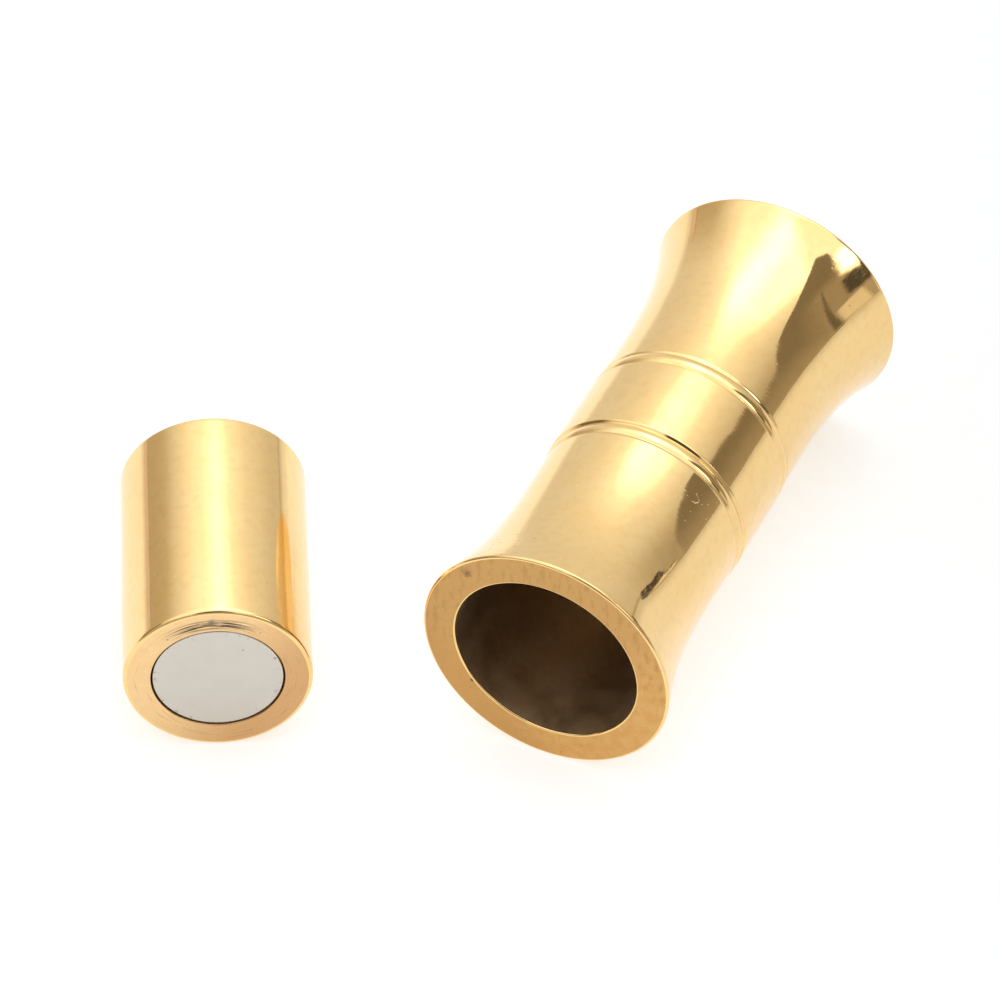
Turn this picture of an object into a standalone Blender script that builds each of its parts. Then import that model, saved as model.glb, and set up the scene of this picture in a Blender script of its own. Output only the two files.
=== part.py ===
"""Magnetic cord clasp, open: a flared socket half and a plain plug half lying beside it.

Metres, +Z up. The origin is on the surface that the halves lie on, under the middle of the
box round both. The socket's axis runs along +Y, with its mouth towards -Y.
"""

import math

import bpy

MM = 0.001

# Socket half
SOCKET_LENGTH = 21.5 * MM
FLARE_RADIUS = 5.0 * MM
NECK_RADIUS = 4.1 * MM           # beside a ring, on its outer side
NECK_TAPER = 0.175 * MM          # fall of the radius from ring to rim, before the flare is added
MIDDLE_RADIUS = 4.16 * MM        # between the two rings
RING_OFFSET = 2.1 * MM           # from the middle of the length to each ring
RING_WIDTH = 0.68 * MM
RING_CREST_RADIUS = 4.33 * MM
PLUG_HOLE_RADIUS = 3.7 * MM
PLUG_HOLE_DEPTH = 10.4 * MM
FLARE_STEPS = 9
RING_STEPS = 6

# Plug half
PLUG_LENGTH = 10.3 * MM
PLUG_RADIUS = 3.55 * MM

# Magnets, their seats, and the cord holes behind them
MAGNET_RADIUS = 2.45 * MM
MAGNET_THICKNESS = 2.0 * MM
MAGNET_RECESS = 0.05 * MM        # magnet below the face round it
SEAT_RADIUS = 2.55 * MM
SEAT_GAP = 0.3 * MM              # between a magnet's back and the floor of its seat
WEB_THICKNESS = 1.0 * MM         # wall between a seat and the cord hole behind it
CORD_HOLE_RADIUS = 2.55 * MM

EDGE_CHAMFER = 0.08 * MM
TURN_STEPS = 48
SHARP_ANGLE = math.radians(25)

# The plug's front face from the socket's mouth, and its turn from the socket's axis
PLUG_ACROSS = -11.23 * MM
PLUG_FORWARD = -4.72 * MM
PLUG_TURN = math.radians(27.5)

GOLD = (0.83, 0.60, 0.27)
NICKEL = (0.62, 0.60, 0.56)


def clear_scene():
    for obj in list(bpy.data.objects):
        bpy.data.objects.remove(obj, do_unlink=True)


def make_collection(name):
    collection = bpy.data.collections.new(name)
    bpy.context.scene.collection.children.link(collection)
    return collection


def metal(name, colour, roughness):
    material = bpy.data.materials.new(name)
    material.use_nodes = True
    shader = material.node_tree.nodes["Principled BSDF"]
    shader.inputs["Base Color"].default_value = (*colour, 1.0)
    shader.inputs["Metallic"].default_value = 1.0
    shader.inputs["Roughness"].default_value = roughness
    material.diffuse_color = (*colour, 1.0)
    return material


def lying_half(name, collection, mouth, turn):
    """An empty at the centre of a half's front face; its local Z runs back along the half."""
    empty = bpy.data.objects.new(name, None)
    empty.empty_display_size = SOCKET_LENGTH / 4
    empty.location = mouth
    empty.rotation_euler = (math.radians(-90), 0.0, turn)
    collection.objects.link(empty)
    return empty


def turned_piece(name, profile, half, material, collection):
    """A closed solid turned about a half's axis from (radius, depth) points.

    The profile starts and ends on the axis, and comes forward along its outer side.
    """
    outline = bpy.data.meshes.new(name)
    points = [(radius, 0.0, depth) for radius, depth in profile]
    edges = [(i, i + 1) for i in range(len(points) - 1)]
    outline.from_pydata(points, edges, [])
    obj = bpy.data.objects.new(name, outline)
    collection.objects.link(obj)
    turn = obj.modifiers.new("turn", "SCREW")
    turn.axis = "Z"
    turn.angle = math.tau
    turn.steps = TURN_STEPS
    turn.render_steps = TURN_STEPS
    turn.use_merge_vertices = True
    turn.merge_threshold = 0.00001
    evaluated = obj.evaluated_get(bpy.context.evaluated_depsgraph_get())
    solid = bpy.data.meshes.new_from_object(evaluated)
    obj.modifiers.clear()
    obj.data = solid
    bpy.data.meshes.remove(outline)
    solid.name = name
    solid.shade_smooth()
    solid.set_sharp_from_angle(angle=SHARP_ANGLE)
    solid.materials.append(material)
    obj.parent = half
    return obj


def flare_points():
    """(radius, offset from the middle) of one concave flare, from its rim to its ring."""
    start = RING_OFFSET + RING_WIDTH / 2
    end = SOCKET_LENGTH / 2 - EDGE_CHAMFER
    swell = FLARE_RADIUS - NECK_RADIUS + NECK_TAPER
    points = []
    for i in range(FLARE_STEPS + 1):
        t = 1 - i / FLARE_STEPS
        radius = NECK_RADIUS - NECK_TAPER * t + swell * t ** 3
        points.append((radius, start + (end - start) * t))
    return points


def ring_points():
    """(radius, offset from the middle) over one ring's round crest, towards the middle."""
    half_width = RING_WIDTH / 2
    rise = RING_CREST_RADIUS - MIDDLE_RADIUS
    crest_arc = (half_width ** 2 + rise ** 2) / (2 * rise)
    spread = math.asin(half_width / crest_arc)
    points = []
    for i in range(1, RING_STEPS + 1):
        angle = spread * (1 - 2 * i / RING_STEPS)
        radius = RING_CREST_RADIUS - crest_arc * (1 - math.cos(angle))
        points.append((radius, RING_OFFSET + crest_arc * math.sin(angle)))
    return points


def seat_points(face_depth):
    """A magnet's seat sunk into a face at the given depth, from its edge to its centre."""
    floor = face_depth + MAGNET_RECESS + MAGNET_THICKNESS + SEAT_GAP
    return [
        (SEAT_RADIUS, face_depth),
        (SEAT_RADIUS, floor),
        (0.0, floor),
    ]


def cord_hole_points(face_depth, length):
    """A cord hole from its floor out to the back face, behind the seat in the front face."""
    floor = face_depth + MAGNET_RECESS + MAGNET_THICKNESS + SEAT_GAP + WEB_THICKNESS
    return [
        (0.0, floor),
        (CORD_HOLE_RADIUS, floor),
        (CORD_HOLE_RADIUS, length - EDGE_CHAMFER),
        (CORD_HOLE_RADIUS + EDGE_CHAMFER, length),
    ]


def socket_shell_profile():
    middle = SOCKET_LENGTH / 2
    outer = flare_points() + ring_points()
    far_side = [(radius, middle + offset) for radius, offset in outer]
    near_side = [(radius, middle - offset) for radius, offset in reversed(outer)]
    return [
        *cord_hole_points(PLUG_HOLE_DEPTH, SOCKET_LENGTH),
        (FLARE_RADIUS - EDGE_CHAMFER, SOCKET_LENGTH),
        *far_side,
        *near_side,
        (FLARE_RADIUS - EDGE_CHAMFER, 0.0),
        (PLUG_HOLE_RADIUS + EDGE_CHAMFER, 0.0),
        (PLUG_HOLE_RADIUS, EDGE_CHAMFER),
        (PLUG_HOLE_RADIUS, PLUG_HOLE_DEPTH),
        *seat_points(PLUG_HOLE_DEPTH),
    ]


def plug_sleeve_profile():
    return [
        *cord_hole_points(0.0, PLUG_LENGTH),
        (PLUG_RADIUS - EDGE_CHAMFER, PLUG_LENGTH),
        (PLUG_RADIUS, PLUG_LENGTH - EDGE_CHAMFER),
        (PLUG_RADIUS, EDGE_CHAMFER),
        (PLUG_RADIUS - EDGE_CHAMFER, 0.0),
        *seat_points(0.0),
    ]


def magnet_profile(face_depth):
    front = face_depth + MAGNET_RECESS
    back = front + MAGNET_THICKNESS
    return [
        (0.0, back),
        (MAGNET_RADIUS - EDGE_CHAMFER, back),
        (MAGNET_RADIUS, back - EDGE_CHAMFER),
        (MAGNET_RADIUS, front + EDGE_CHAMFER),
        (MAGNET_RADIUS - EDGE_CHAMFER, front),
        (0.0, front),
    ]


def mouth_places():
    """Centres of the two front faces, measured from the middle of the box round both halves."""
    plug_low_x = PLUG_ACROSS - PLUG_LENGTH * math.sin(PLUG_TURN) - PLUG_RADIUS * math.cos(PLUG_TURN)
    plug_low_y = PLUG_FORWARD - PLUG_RADIUS * math.sin(PLUG_TURN)
    middle_x = (plug_low_x + FLARE_RADIUS) / 2
    middle_y = (plug_low_y + SOCKET_LENGTH) / 2
    socket_mouth = (-middle_x, -middle_y, FLARE_RADIUS)
    plug_face = (PLUG_ACROSS - middle_x, PLUG_FORWARD - middle_y, PLUG_RADIUS)
    return socket_mouth, plug_face


def build_clasp():
    collection = make_collection("magnetic_clasp")
    socket_mouth, plug_face = mouth_places()
    socket = lying_half("socket_half", collection, socket_mouth, 0.0)
    plug = lying_half("plug_half", collection, plug_face, PLUG_TURN)

    shell_gold = metal("socket_gold", GOLD, 0.18)
    sleeve_gold = metal("plug_gold", GOLD, 0.16)
    hidden_nickel = metal("socket_magnet_nickel", NICKEL, 0.35)
    face_nickel = metal("plug_magnet_nickel", NICKEL, 0.35)

    turned_piece("socket_shell", socket_shell_profile(), socket, shell_gold, collection)
    turned_piece("socket_magnet", magnet_profile(PLUG_HOLE_DEPTH), socket, hidden_nickel, collection)
    turned_piece("plug_sleeve", plug_sleeve_profile(), plug, sleeve_gold, collection)
    turned_piece("plug_magnet", magnet_profile(0.0), plug, face_nickel, collection)


clear_scene()
build_clasp()
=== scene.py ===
"""Looks of the magnetic cord clasp: two polished gold halves on a white table in a bright room.

Metres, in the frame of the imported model. Finishes are worked out in millimetres in a half's own
frame: X to its right, Y down, and Z back along it from the middle of its front face.
"""

import math

import bmesh
import bpy
from mathutils import Euler, Matrix, Vector


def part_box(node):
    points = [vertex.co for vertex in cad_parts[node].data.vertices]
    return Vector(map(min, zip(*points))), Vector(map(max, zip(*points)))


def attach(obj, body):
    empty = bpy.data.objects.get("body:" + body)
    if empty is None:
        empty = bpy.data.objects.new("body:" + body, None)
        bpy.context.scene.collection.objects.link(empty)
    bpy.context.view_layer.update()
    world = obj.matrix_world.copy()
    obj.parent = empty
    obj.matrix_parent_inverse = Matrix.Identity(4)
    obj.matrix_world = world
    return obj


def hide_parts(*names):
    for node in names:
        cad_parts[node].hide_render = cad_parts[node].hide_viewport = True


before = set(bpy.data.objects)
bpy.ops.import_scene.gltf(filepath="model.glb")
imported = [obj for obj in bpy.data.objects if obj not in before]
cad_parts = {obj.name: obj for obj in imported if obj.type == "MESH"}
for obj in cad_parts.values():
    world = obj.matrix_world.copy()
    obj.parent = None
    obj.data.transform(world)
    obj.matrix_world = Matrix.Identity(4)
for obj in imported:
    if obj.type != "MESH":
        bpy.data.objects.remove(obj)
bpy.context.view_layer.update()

MM = 0.001
QUARTER = math.radians(90)

# Socket half, as in the model
NECK_RADIUS = 4.1 * MM
NECK_TAPER = 0.175 * MM
MIDDLE_RADIUS = 4.16 * MM
RING_OFFSET = 2.1 * MM
RING_WIDTH = 0.68 * MM
PLUG_HOLE_RADIUS = 3.7 * MM
PLUG_HOLE_DEPTH = 10.4 * MM

# Plug half, magnets, seats and cord holes, as in the model
PLUG_LENGTH = 10.3 * MM
PLUG_TURN = math.radians(27.5)
MAGNET_RADIUS = 2.45 * MM
MAGNET_THICKNESS = 2.0 * MM
MAGNET_RECESS = 0.05 * MM
SEAT_RADIUS = 2.55 * MM
SEAT_GAP = 0.3 * MM              # between a magnet's back and the floor of its seat
SEAT_DEPTH = MAGNET_RECESS + MAGNET_THICKNESS + SEAT_GAP
WEB_THICKNESS = 1.0 * MM
CORD_HOLE_RADIUS = 2.55 * MM

# Fine forms that the model leaves out
BEAD_CREST = 4.14 * MM           # a ring's crest, in its groove
BEAD_RADIUS = 0.52 * MM          # round of the crest
GROOVE_RADIUS = 4.07 * MM        # floor of the groove at both feet of a ring
GROOVE_FOOT = 0.26 * MM          # from a ring's middle to the foot of its groove's wall
GROOVE_REACH = 0.39 * MM         # and to the wall's top
NEAR_STRAIGHT = 0.86             # share of the mouth's flare, from its ring, where its curve turns straight
FAR_STRAIGHT = 1.0               # the far flare curves up to its rim
RIM_ROUND = 0.10 * MM
HOLE_EDGE_ROUND = 0.07 * MM
PLUG_RIM_ROUND = 0.16 * MM
PLUG_BACK_ROUND = 0.06 * MM
PLUG_SEAT_EDGE = 0.04 * MM
PLUG_SEAT_RADIUS = 2.51 * MM
MAGNET_EDGE = 0.05 * MM
WAVE_HEIGHT = 0.009 * MM         # left by the polishing wheel
WAVE_SIZE = 2.6 * MM

# Faces round a turned band, and along each kind of band
ROUND_STEPS = 180
FLOOR_STEPS = 3                  # of a seat or a cord hole
SEAT_STEPS = 8
LEDGE_STEPS = 6                  # round the seat in the plug hole's floor
PLUG_HOLE_STEPS = 24
CORD_HOLE_STEPS = 12
HOLE_EDGE_STEPS = 5
RIM_STEPS = 8
SOCKET_FACE_STEPS = 10
PLUG_FACE_STEPS = 8
SIDE_STEPS = 90                  # along a flare or the plug's side
RING_STEPS = 48
MIDDLE_STEPS = 24
MAGNET_FACE_STEPS = 12
MAGNET_STEPS = 6
RING_MARGIN = 1.1                # the fine faces over a ring reach this much past its groove
JOIN_GAP = 0.001 * MM
WELD_GAP = 0.0005 * MM
SHARP_ANGLE = math.radians(40)

# Finishes, as the faces' numbers
POLISHED, SATIN, HOLE = 0, 1, 2

# Colours of the metals, of the marks on them, and of the painted shade and glints on them
PALE_GOLD = (0.905, 0.64, 0.29)
RICH_GOLD = (0.905, 0.615, 0.262)
WORN_GOLD = (0.83, 0.565, 0.235)
PITTED_GOLD = (0.58, 0.39, 0.17)
DASH_BROWN = (0.30, 0.20, 0.10)
DUST_TAN = (0.72, 0.58, 0.38)
SATIN_STAIN = (0.30, 0.165, 0.07)
MOUTH_GOLD = (0.67, 0.385, 0.132)
MOUTH_DEEPER = (0.62, 0.335, 0.104)
# Painted shade over the top of the mouth's face
MOUTH_PAINTED_SHADE = (0.50, 0.285, 0.102)
MOUTH_LOWER_LEFT = (0.50, 0.27, 0.088)
MOUTH_STREAK = (0.36, 0.19, 0.06)
MOUTH_SMUDGE = (0.20, 0.12, 0.06)
MOUTH_NICK = (0.15, 0.09, 0.05)
PLUG_FACE_GOLD = (0.85, 0.585, 0.295)
PLUG_FACE_DEEPER = (0.82, 0.55, 0.27)
PLUG_FACE_RIGHT = (0.60, 0.34, 0.15)
PLUG_FACE_SMUDGE = (0.18, 0.15, 0.13)
SCRATCH_DARK = (0.12, 0.08, 0.055)
# Painted glint beside the plug face's scratches
SCRATCH_PAINTED_GLINT = (0.95, 0.80, 0.55)
SCRATCH_FAINT = (0.30, 0.17, 0.09)
SOCKET_HOLE_GOLD = (0.73, 0.54, 0.33)
PLUG_HOLE_GOLD = (0.86, 0.58, 0.33)
DARKER_NICKEL = (0.575, 0.535, 0.475)
PALER_NICKEL = (0.60, 0.56, 0.50)
NICKEL_MARK = (0.20, 0.17, 0.14)

# Single marks: places in mm on their half, and radii in mm
CURL_PLACE = (2.74, -3.03, 7.29)
CURL_RADIUS = 0.16
CURL_BEND = 0.9
CURL_LINE = (0.034, 0.012)       # half the line's width, and where it is full
CURL_CUT = (-0.04, 0.02)         # across, where its left half ends
CURL_REACH = 0.36
GRAINS_REACH = 1.6
DASHES_PLACE = (-2.2, -4.2, 1.0)
DASHES_REACH = 1.9
MOUTH_SMUDGE_PLACE = (-3.18, -3.22, 0.0)
MOUTH_SMUDGE_REACH = 0.30
MOUTH_NICK_PLACE = (-2.99, 2.38, 0.0)
MOUTH_NICK_REACH = 0.12
PLUG_SMUDGE_PLACE = (-0.16, -3.0, 0.0)
PLUG_SMUDGE_REACH = 0.24
MAGNET_SPECKS = (((0.97, -1.43, 0.05), 0.05), ((2.15, -0.93, 0.05), 0.06))

# Roughness of the polish where it is best and worst, what marks add to it, and how far dust covers it
SOCKET_POLISH = (0.045, 0.07)
PLUG_POLISH = (0.07, 0.10)
PIT_ROUGHNESS = 0.28
HAIRLINE_ROUGHNESS = 0.14
DUST_COVER = 0.8

# Relief too fine for the mesh, in mm
PLUG_LEAN = 0.027                # for each mm along the plug
FINE_BUMP = 0.0005
SATIN_BUMP = 0.0003
HOLE_BUMP = 0.0007
FACE_TURNING = 55.0              # turning marks, in radians for each mm, and how far they wander
FACE_WANDER = 3.0
HOLE_TURNING = 26.0
HOLE_WANDER = 5.0
HOLE_TURNING_HEIGHT = 0.3

# How the patterns run
# Painted shade in the holes
HOLE_SHADE = 0.55                # of the hole's gold where it is darkest
MOUTH_SLANT = 0.4                # the mouth's shade goes this far across for each mm down
PLUG_FACE_SLANT = 0.6            # and the plug's this far down for each mm across
NICKEL_RIM_MARKS = 0.6
NOISE_LOW, NOISE_HIGH = 0.3, 0.7  # most of a noise lies between these
RAGGED_SCALE = 6.0

# Scratches round the top of the plug's face
SCRATCHES_ROUND = 1.9            # for each radian
SCRATCHES_OUT = 17.0             # for each mm
SCRATCH_MIDDLE = math.radians(94)
SCRATCH_END = math.radians(46)
SCRATCH_FULL = math.radians(12)

# View of the photograph
VIEW_AZIMUTH = math.radians(24.894)
VIEW_ELEVATION = math.radians(44.75)
VIEW_DISTANCE = 292.0 * MM
VIEW_TARGET = Vector((-0.12, 3.95, 0.0)) * MM
VIEW_LENS = 270.9
VIEW_CLIP = 10 * MM
SENSOR = 36.0

# Table. Its glow is painted light, and its shadows are warm, so its glow is warm too. Glow and colour are
# dimmer to the right and far out, as painted shade: where that starts and ends, and the values before and
# after it
TABLE_RADIUS = 300 * MM
TABLE_STEPS = 128
TABLE_ROUGHNESS = 0.9
TABLE_COLOUR = (0.36, 0.41, 0.46)
TABLE_PAINTED_GLOW = (0.735, 0.685, 0.63)
TABLE_GRAIN = 900.0
TABLE_GRAIN_LEVELS = (0.99, 1.0)
TABLE_SHADE_RIGHT = (9 * MM, 22 * MM, 0.0, 0.16)
TABLE_SHADE_OUTWARDS = (34 * MM, 160 * MM, 1.0, 0.76)

# The room's brightness. Each row: a change's start and end, in degrees from straight up (down) or to the
# right of the view (across), and where they aren't 0 and 1, the values before and after it
WALL_DOWN = (50.0, 85.0, 1.0, 0.84)
CEILING_DOWN = (36.0, 56.0, 0.48, 0.0)
GLOW_DOWN = (46.0, 64.0, 0.13, 0.0)
GLOW_ACROSS = (45.0, 25.0)
LEFT_ACROSS = (-28.0, -50.0)
LEFT_DOWN = (50.0, 70.0)
LEFT_SHADE = 0.33
RIGHT_ACROSS = (30.0, 70.0)
RIGHT_DOWN = (45.0, 80.0)
RIGHT_SHADE = 0.43
BEHIND_ACROSS = (105.0, 140.0, 0.0, 0.10)
BELOW_DOWN = (91.0, 92.0)

# Overhead light, measured on a ceiling one unit up, and how dimmer light turns warmer, in such rows too
LOWEST_HEIGHT = 0.05
LIGHT_LEFT_END = (-0.32, 0.12)
LIGHT_FRONT_END = (0.02, 0.20)
LIGHT_DOWN = (47.0, 37.0)
LIGHT_LEVEL = (0.03, 0.44, 1.72, 0.84)
WARM_GREEN = (0.45, 0.88, 0.92, 1.0)
WARM_BLUE = (0.45, 0.88, 0.80, 1.0)
LEFT_GREEN = 0.14
LEFT_BLUE = 0.36

# Panels in the room: corners as (degrees from straight up, degrees to the right of the view)
OPENING = ((34, 91), (38, 100), (78, 105), (91.6, 89.6), (91.8, 71.0), (58.5, 67.4))
BOARD = ((78, 91), (78, 103), (91, 103), (91, 91))
BOARD_EDGE = ((57, 87.9), (57, 88.7), (91, 90.2), (91, 87.0))
DARK_CORNER = ((62, 98), (62, 110), (78, 110), (75, 98))
LAMP = ((43, 103.5), (45, 112), (64, 112), (58, 101.5), (50, 100.5))
FAR_LEFT = ((60, -70), (60, -98), (86, -98), (86, -70))
PALER_ACROSS = (74.0, 90.0)
PALER_DOWN = (50.0, 60.0)
PALER_LOWEST = (70.0, 90.0)
OPENING_DARK = (0.25, 0.22, 0.18)
OPENING_PALER = (0.39, 0.345, 0.285)
BOARD_COLOUR = (0.85, 0.8, 0.72)
BOARD_EDGE_COLOUR = (0.17, 0.15, 0.12)
DARK_CORNER_COLOUR = (0.07, 0.07, 0.065)
LAMP_COLOUR = (4.2, 4.0, 3.7)
FAR_LEFT_COLOUR = (0.22, 0.19, 0.15)
EDGE_NOISE = 16.0
EDGE_UNEVENNESS = 0.05
SPECKLE_NOISE = 50.0
CORNER_SPECKLE = (0.30, 0.55, 0.65, 1.0)

# Foot of the wall, in the same degrees
GAP_SLANT_START = 60.0
GAP_SLANT = 0.38
GAP_RAGGEDNESS = 2.5
GAP_GRAIN = 2.0
GAP_LEFT_END = (48.5, 50.0)
GAP_RIGHT_END = (68.5, 66.5)
GAP_TOP = (60.5, 63.5, 83.4, 87.6)
GAP_SOFTNESS = 0.5
GAP_FOOT = (88.6, 88.1)
GAP_SPECKLE = (0.36, 0.46, 0.3, 1.0)
GAP_COLOUR = (0.09, 0.08, 0.07)
GAP_LINE_TOP = (88.3, 88.7)
GAP_LINE_FOOT = (90.3, 89.9)
GAP_LINE_COLOUR = (1.0, 0.93, 0.82)
TABLE_LINE_TOP = (89.0, 89.4)
TABLE_LINE_FOOT = (90.6, 90.2)
TABLE_LINE_LEFT_END = (20.0, 30.0)
TABLE_LINE_RIGHT_END = (100.0, 90.0)
TABLE_LINE_BROKEN = 0.7          # how far the gap hides it
TABLE_LINE_COLOUR = (0.46, 0.38, 0.28)
STRIP_TOP = (86.2, 86.8)
STRIP_RIGHT_END = (-36.0, -40.0)
STRIP_LEFT_END = (-85.0, -75.0)
STRIP_COLOUR = (0.80, 0.67, 0.66)
STRIP_EDGE_TOP = (85.6, 86.1)
STRIP_EDGE_FOOT = (86.9, 86.5)
STRIP_EDGE_COLOUR = (0.42, 0.33, 0.24)

# The camera's own dark reflection, the white below the horizon, and the white past the table's edge
LENS_PLACE = (45.0, 180.0)
LENS_EDGE = 20.0
LENS_CORE = 15.0
LENS_COLOUR = (0.10, 0.09, 0.08)
BELOW_COLOUR = (1.0, 1.0, 1.0)
PAST_TABLE = (1.1, 1.1, 1.1, 1.0)


# Node trees

class Number:
    """A number in a node tree. Arithmetic on it adds Math nodes to the tree."""

    def __init__(self, tree, socket):
        self.tree = tree
        self.socket = socket

    def maths(self, operation, *others):
        node = self.tree.nodes.new("ShaderNodeMath")
        node.operation = operation
        for slot, value in zip(node.inputs, (self, *others)):
            feed(self.tree, slot, value)
        return Number(self.tree, node.outputs[0])

    def __add__(self, other):
        return self.maths("ADD", other)

    def __sub__(self, other):
        return self.maths("SUBTRACT", other)

    def __mul__(self, other):
        return self.maths("MULTIPLY", other)

    def __truediv__(self, other):
        return self.maths("DIVIDE", other)

    def __pow__(self, other):
        return self.maths("POWER", other)

    def __neg__(self):
        return self * -1

    def __rsub__(self, other):
        return -self + other

    def __abs__(self):
        return self.maths("ABSOLUTE")

    __radd__ = __add__
    __rmul__ = __mul__

    def fade(self, start, end, before=0.0, after=1.0):
        """Goes smoothly from its value before the start to its value after the end."""
        node = add(self.tree, "ShaderNodeMapRange", {
            "Value": self,
            "From Min": start,
            "From Max": end,
            "To Min": before,
            "To Max": after,
        }, interpolation_type="SMOOTHSTEP")
        return Number(self.tree, node.outputs["Result"])

    def spread(self, before=0.0, after=1.0):
        """Fades over the range that most of a noise lies in."""
        return self.fade(NOISE_LOW, NOISE_HIGH, before, after)


def feed(tree, slot, value):
    """Gives an input a plain value, or a link from a socket or a Number."""
    if isinstance(value, Number):
        value = value.socket
    if isinstance(value, bpy.types.NodeSocket):
        tree.links.new(value, slot)
    else:
        slot.default_value = value


def add(tree, kind, inputs=None, **settings):
    node = tree.nodes.new(kind)
    for name, value in settings.items():
        setattr(node, name, value)
    for name, value in (inputs or {}).items():
        feed(tree, node.inputs[name], value)
    return node


def parts(tree, vector, axes="XYZ"):
    """The numbers that a vector is made of, for the axes named."""
    split = add(tree, "ShaderNodeSeparateXYZ", {0: vector})
    return [Number(tree, split.outputs[axis]) for axis in axes]


def noise_node(tree, vector, scale, detail=2.0):
    return add(tree, "ShaderNodeTexNoise", {"Vector": vector, "Scale": scale, "Detail": detail})


def mix_colours(tree, amount, first, second):
    """Goes from the first colour to the second as the amount goes from 0 to 1."""
    node = add(tree, "ShaderNodeMix", data_type="RGBA")
    slots = [slot for slot in node.inputs if slot.type == "RGBA"]
    for slot, colour in zip(slots, (first, second)):
        feed(tree, slot, (*colour, 1.0) if isinstance(colour, tuple) else colour)
    feed(tree, node.inputs[0], amount)
    return [slot for slot in node.outputs if slot.type == "RGBA"][0]


def combine_colour(tree, red, green, blue):
    node = add(tree, "ShaderNodeCombineColor", {"Red": red, "Green": green, "Blue": blue})
    return node.outputs[0]


# Turned shapes

def grid_place(tree):
    """How far across and along its flat grid a point lies, each from 0 to 1."""
    position = tree.nodes.new("GeometryNodeInputPosition")
    return [part + 0.5 for part in parts(tree, position.outputs[0], "XY")]


def band_group():
    """A band of faces turned about Z. Radius and Depth are fields over the grid it starts from."""
    tree = bpy.data.node_groups.new("turned band", "GeometryNodeTree")
    tree.interface.new_socket("Geometry", in_out="OUTPUT", socket_type="NodeSocketGeometry")
    for name in ("Radius", "Depth"):
        tree.interface.new_socket(name, in_out="INPUT", socket_type="NodeSocketFloat")
    for name in ("Steps Along", "Steps Round", "Finish"):
        tree.interface.new_socket(name, in_out="INPUT", socket_type="NodeSocketInt")
    given = tree.nodes.new("NodeGroupInput").outputs
    result = tree.nodes.new("NodeGroupOutput")
    grid = add(tree, "GeometryNodeMeshGrid", {
        "Size X": 1.0,
        "Size Y": 1.0,
        "Vertices X": Number(tree, given["Steps Round"]) + 1,
        "Vertices Y": Number(tree, given["Steps Along"]) + 1,
    })
    across, _ = grid_place(tree)
    turn = across * math.tau
    radius = Number(tree, given["Radius"])
    point = add(tree, "ShaderNodeCombineXYZ", {
        "X": radius * turn.maths("COSINE"),
        "Y": radius * turn.maths("SINE"),
        "Z": given["Depth"],
    })
    moved = add(tree, "GeometryNodeSetPosition", {
        "Geometry": grid.outputs["Mesh"],
        "Position": point.outputs[0],
    })
    marked = add(tree, "GeometryNodeStoreNamedAttribute", {
        "Geometry": moved.outputs[0],
        "Name": "finish",
        "Value": given["Finish"],
    }, data_type="INT", domain="FACE")
    tree.links.new(marked.outputs[0], result.inputs[0])
    return tree


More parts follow.
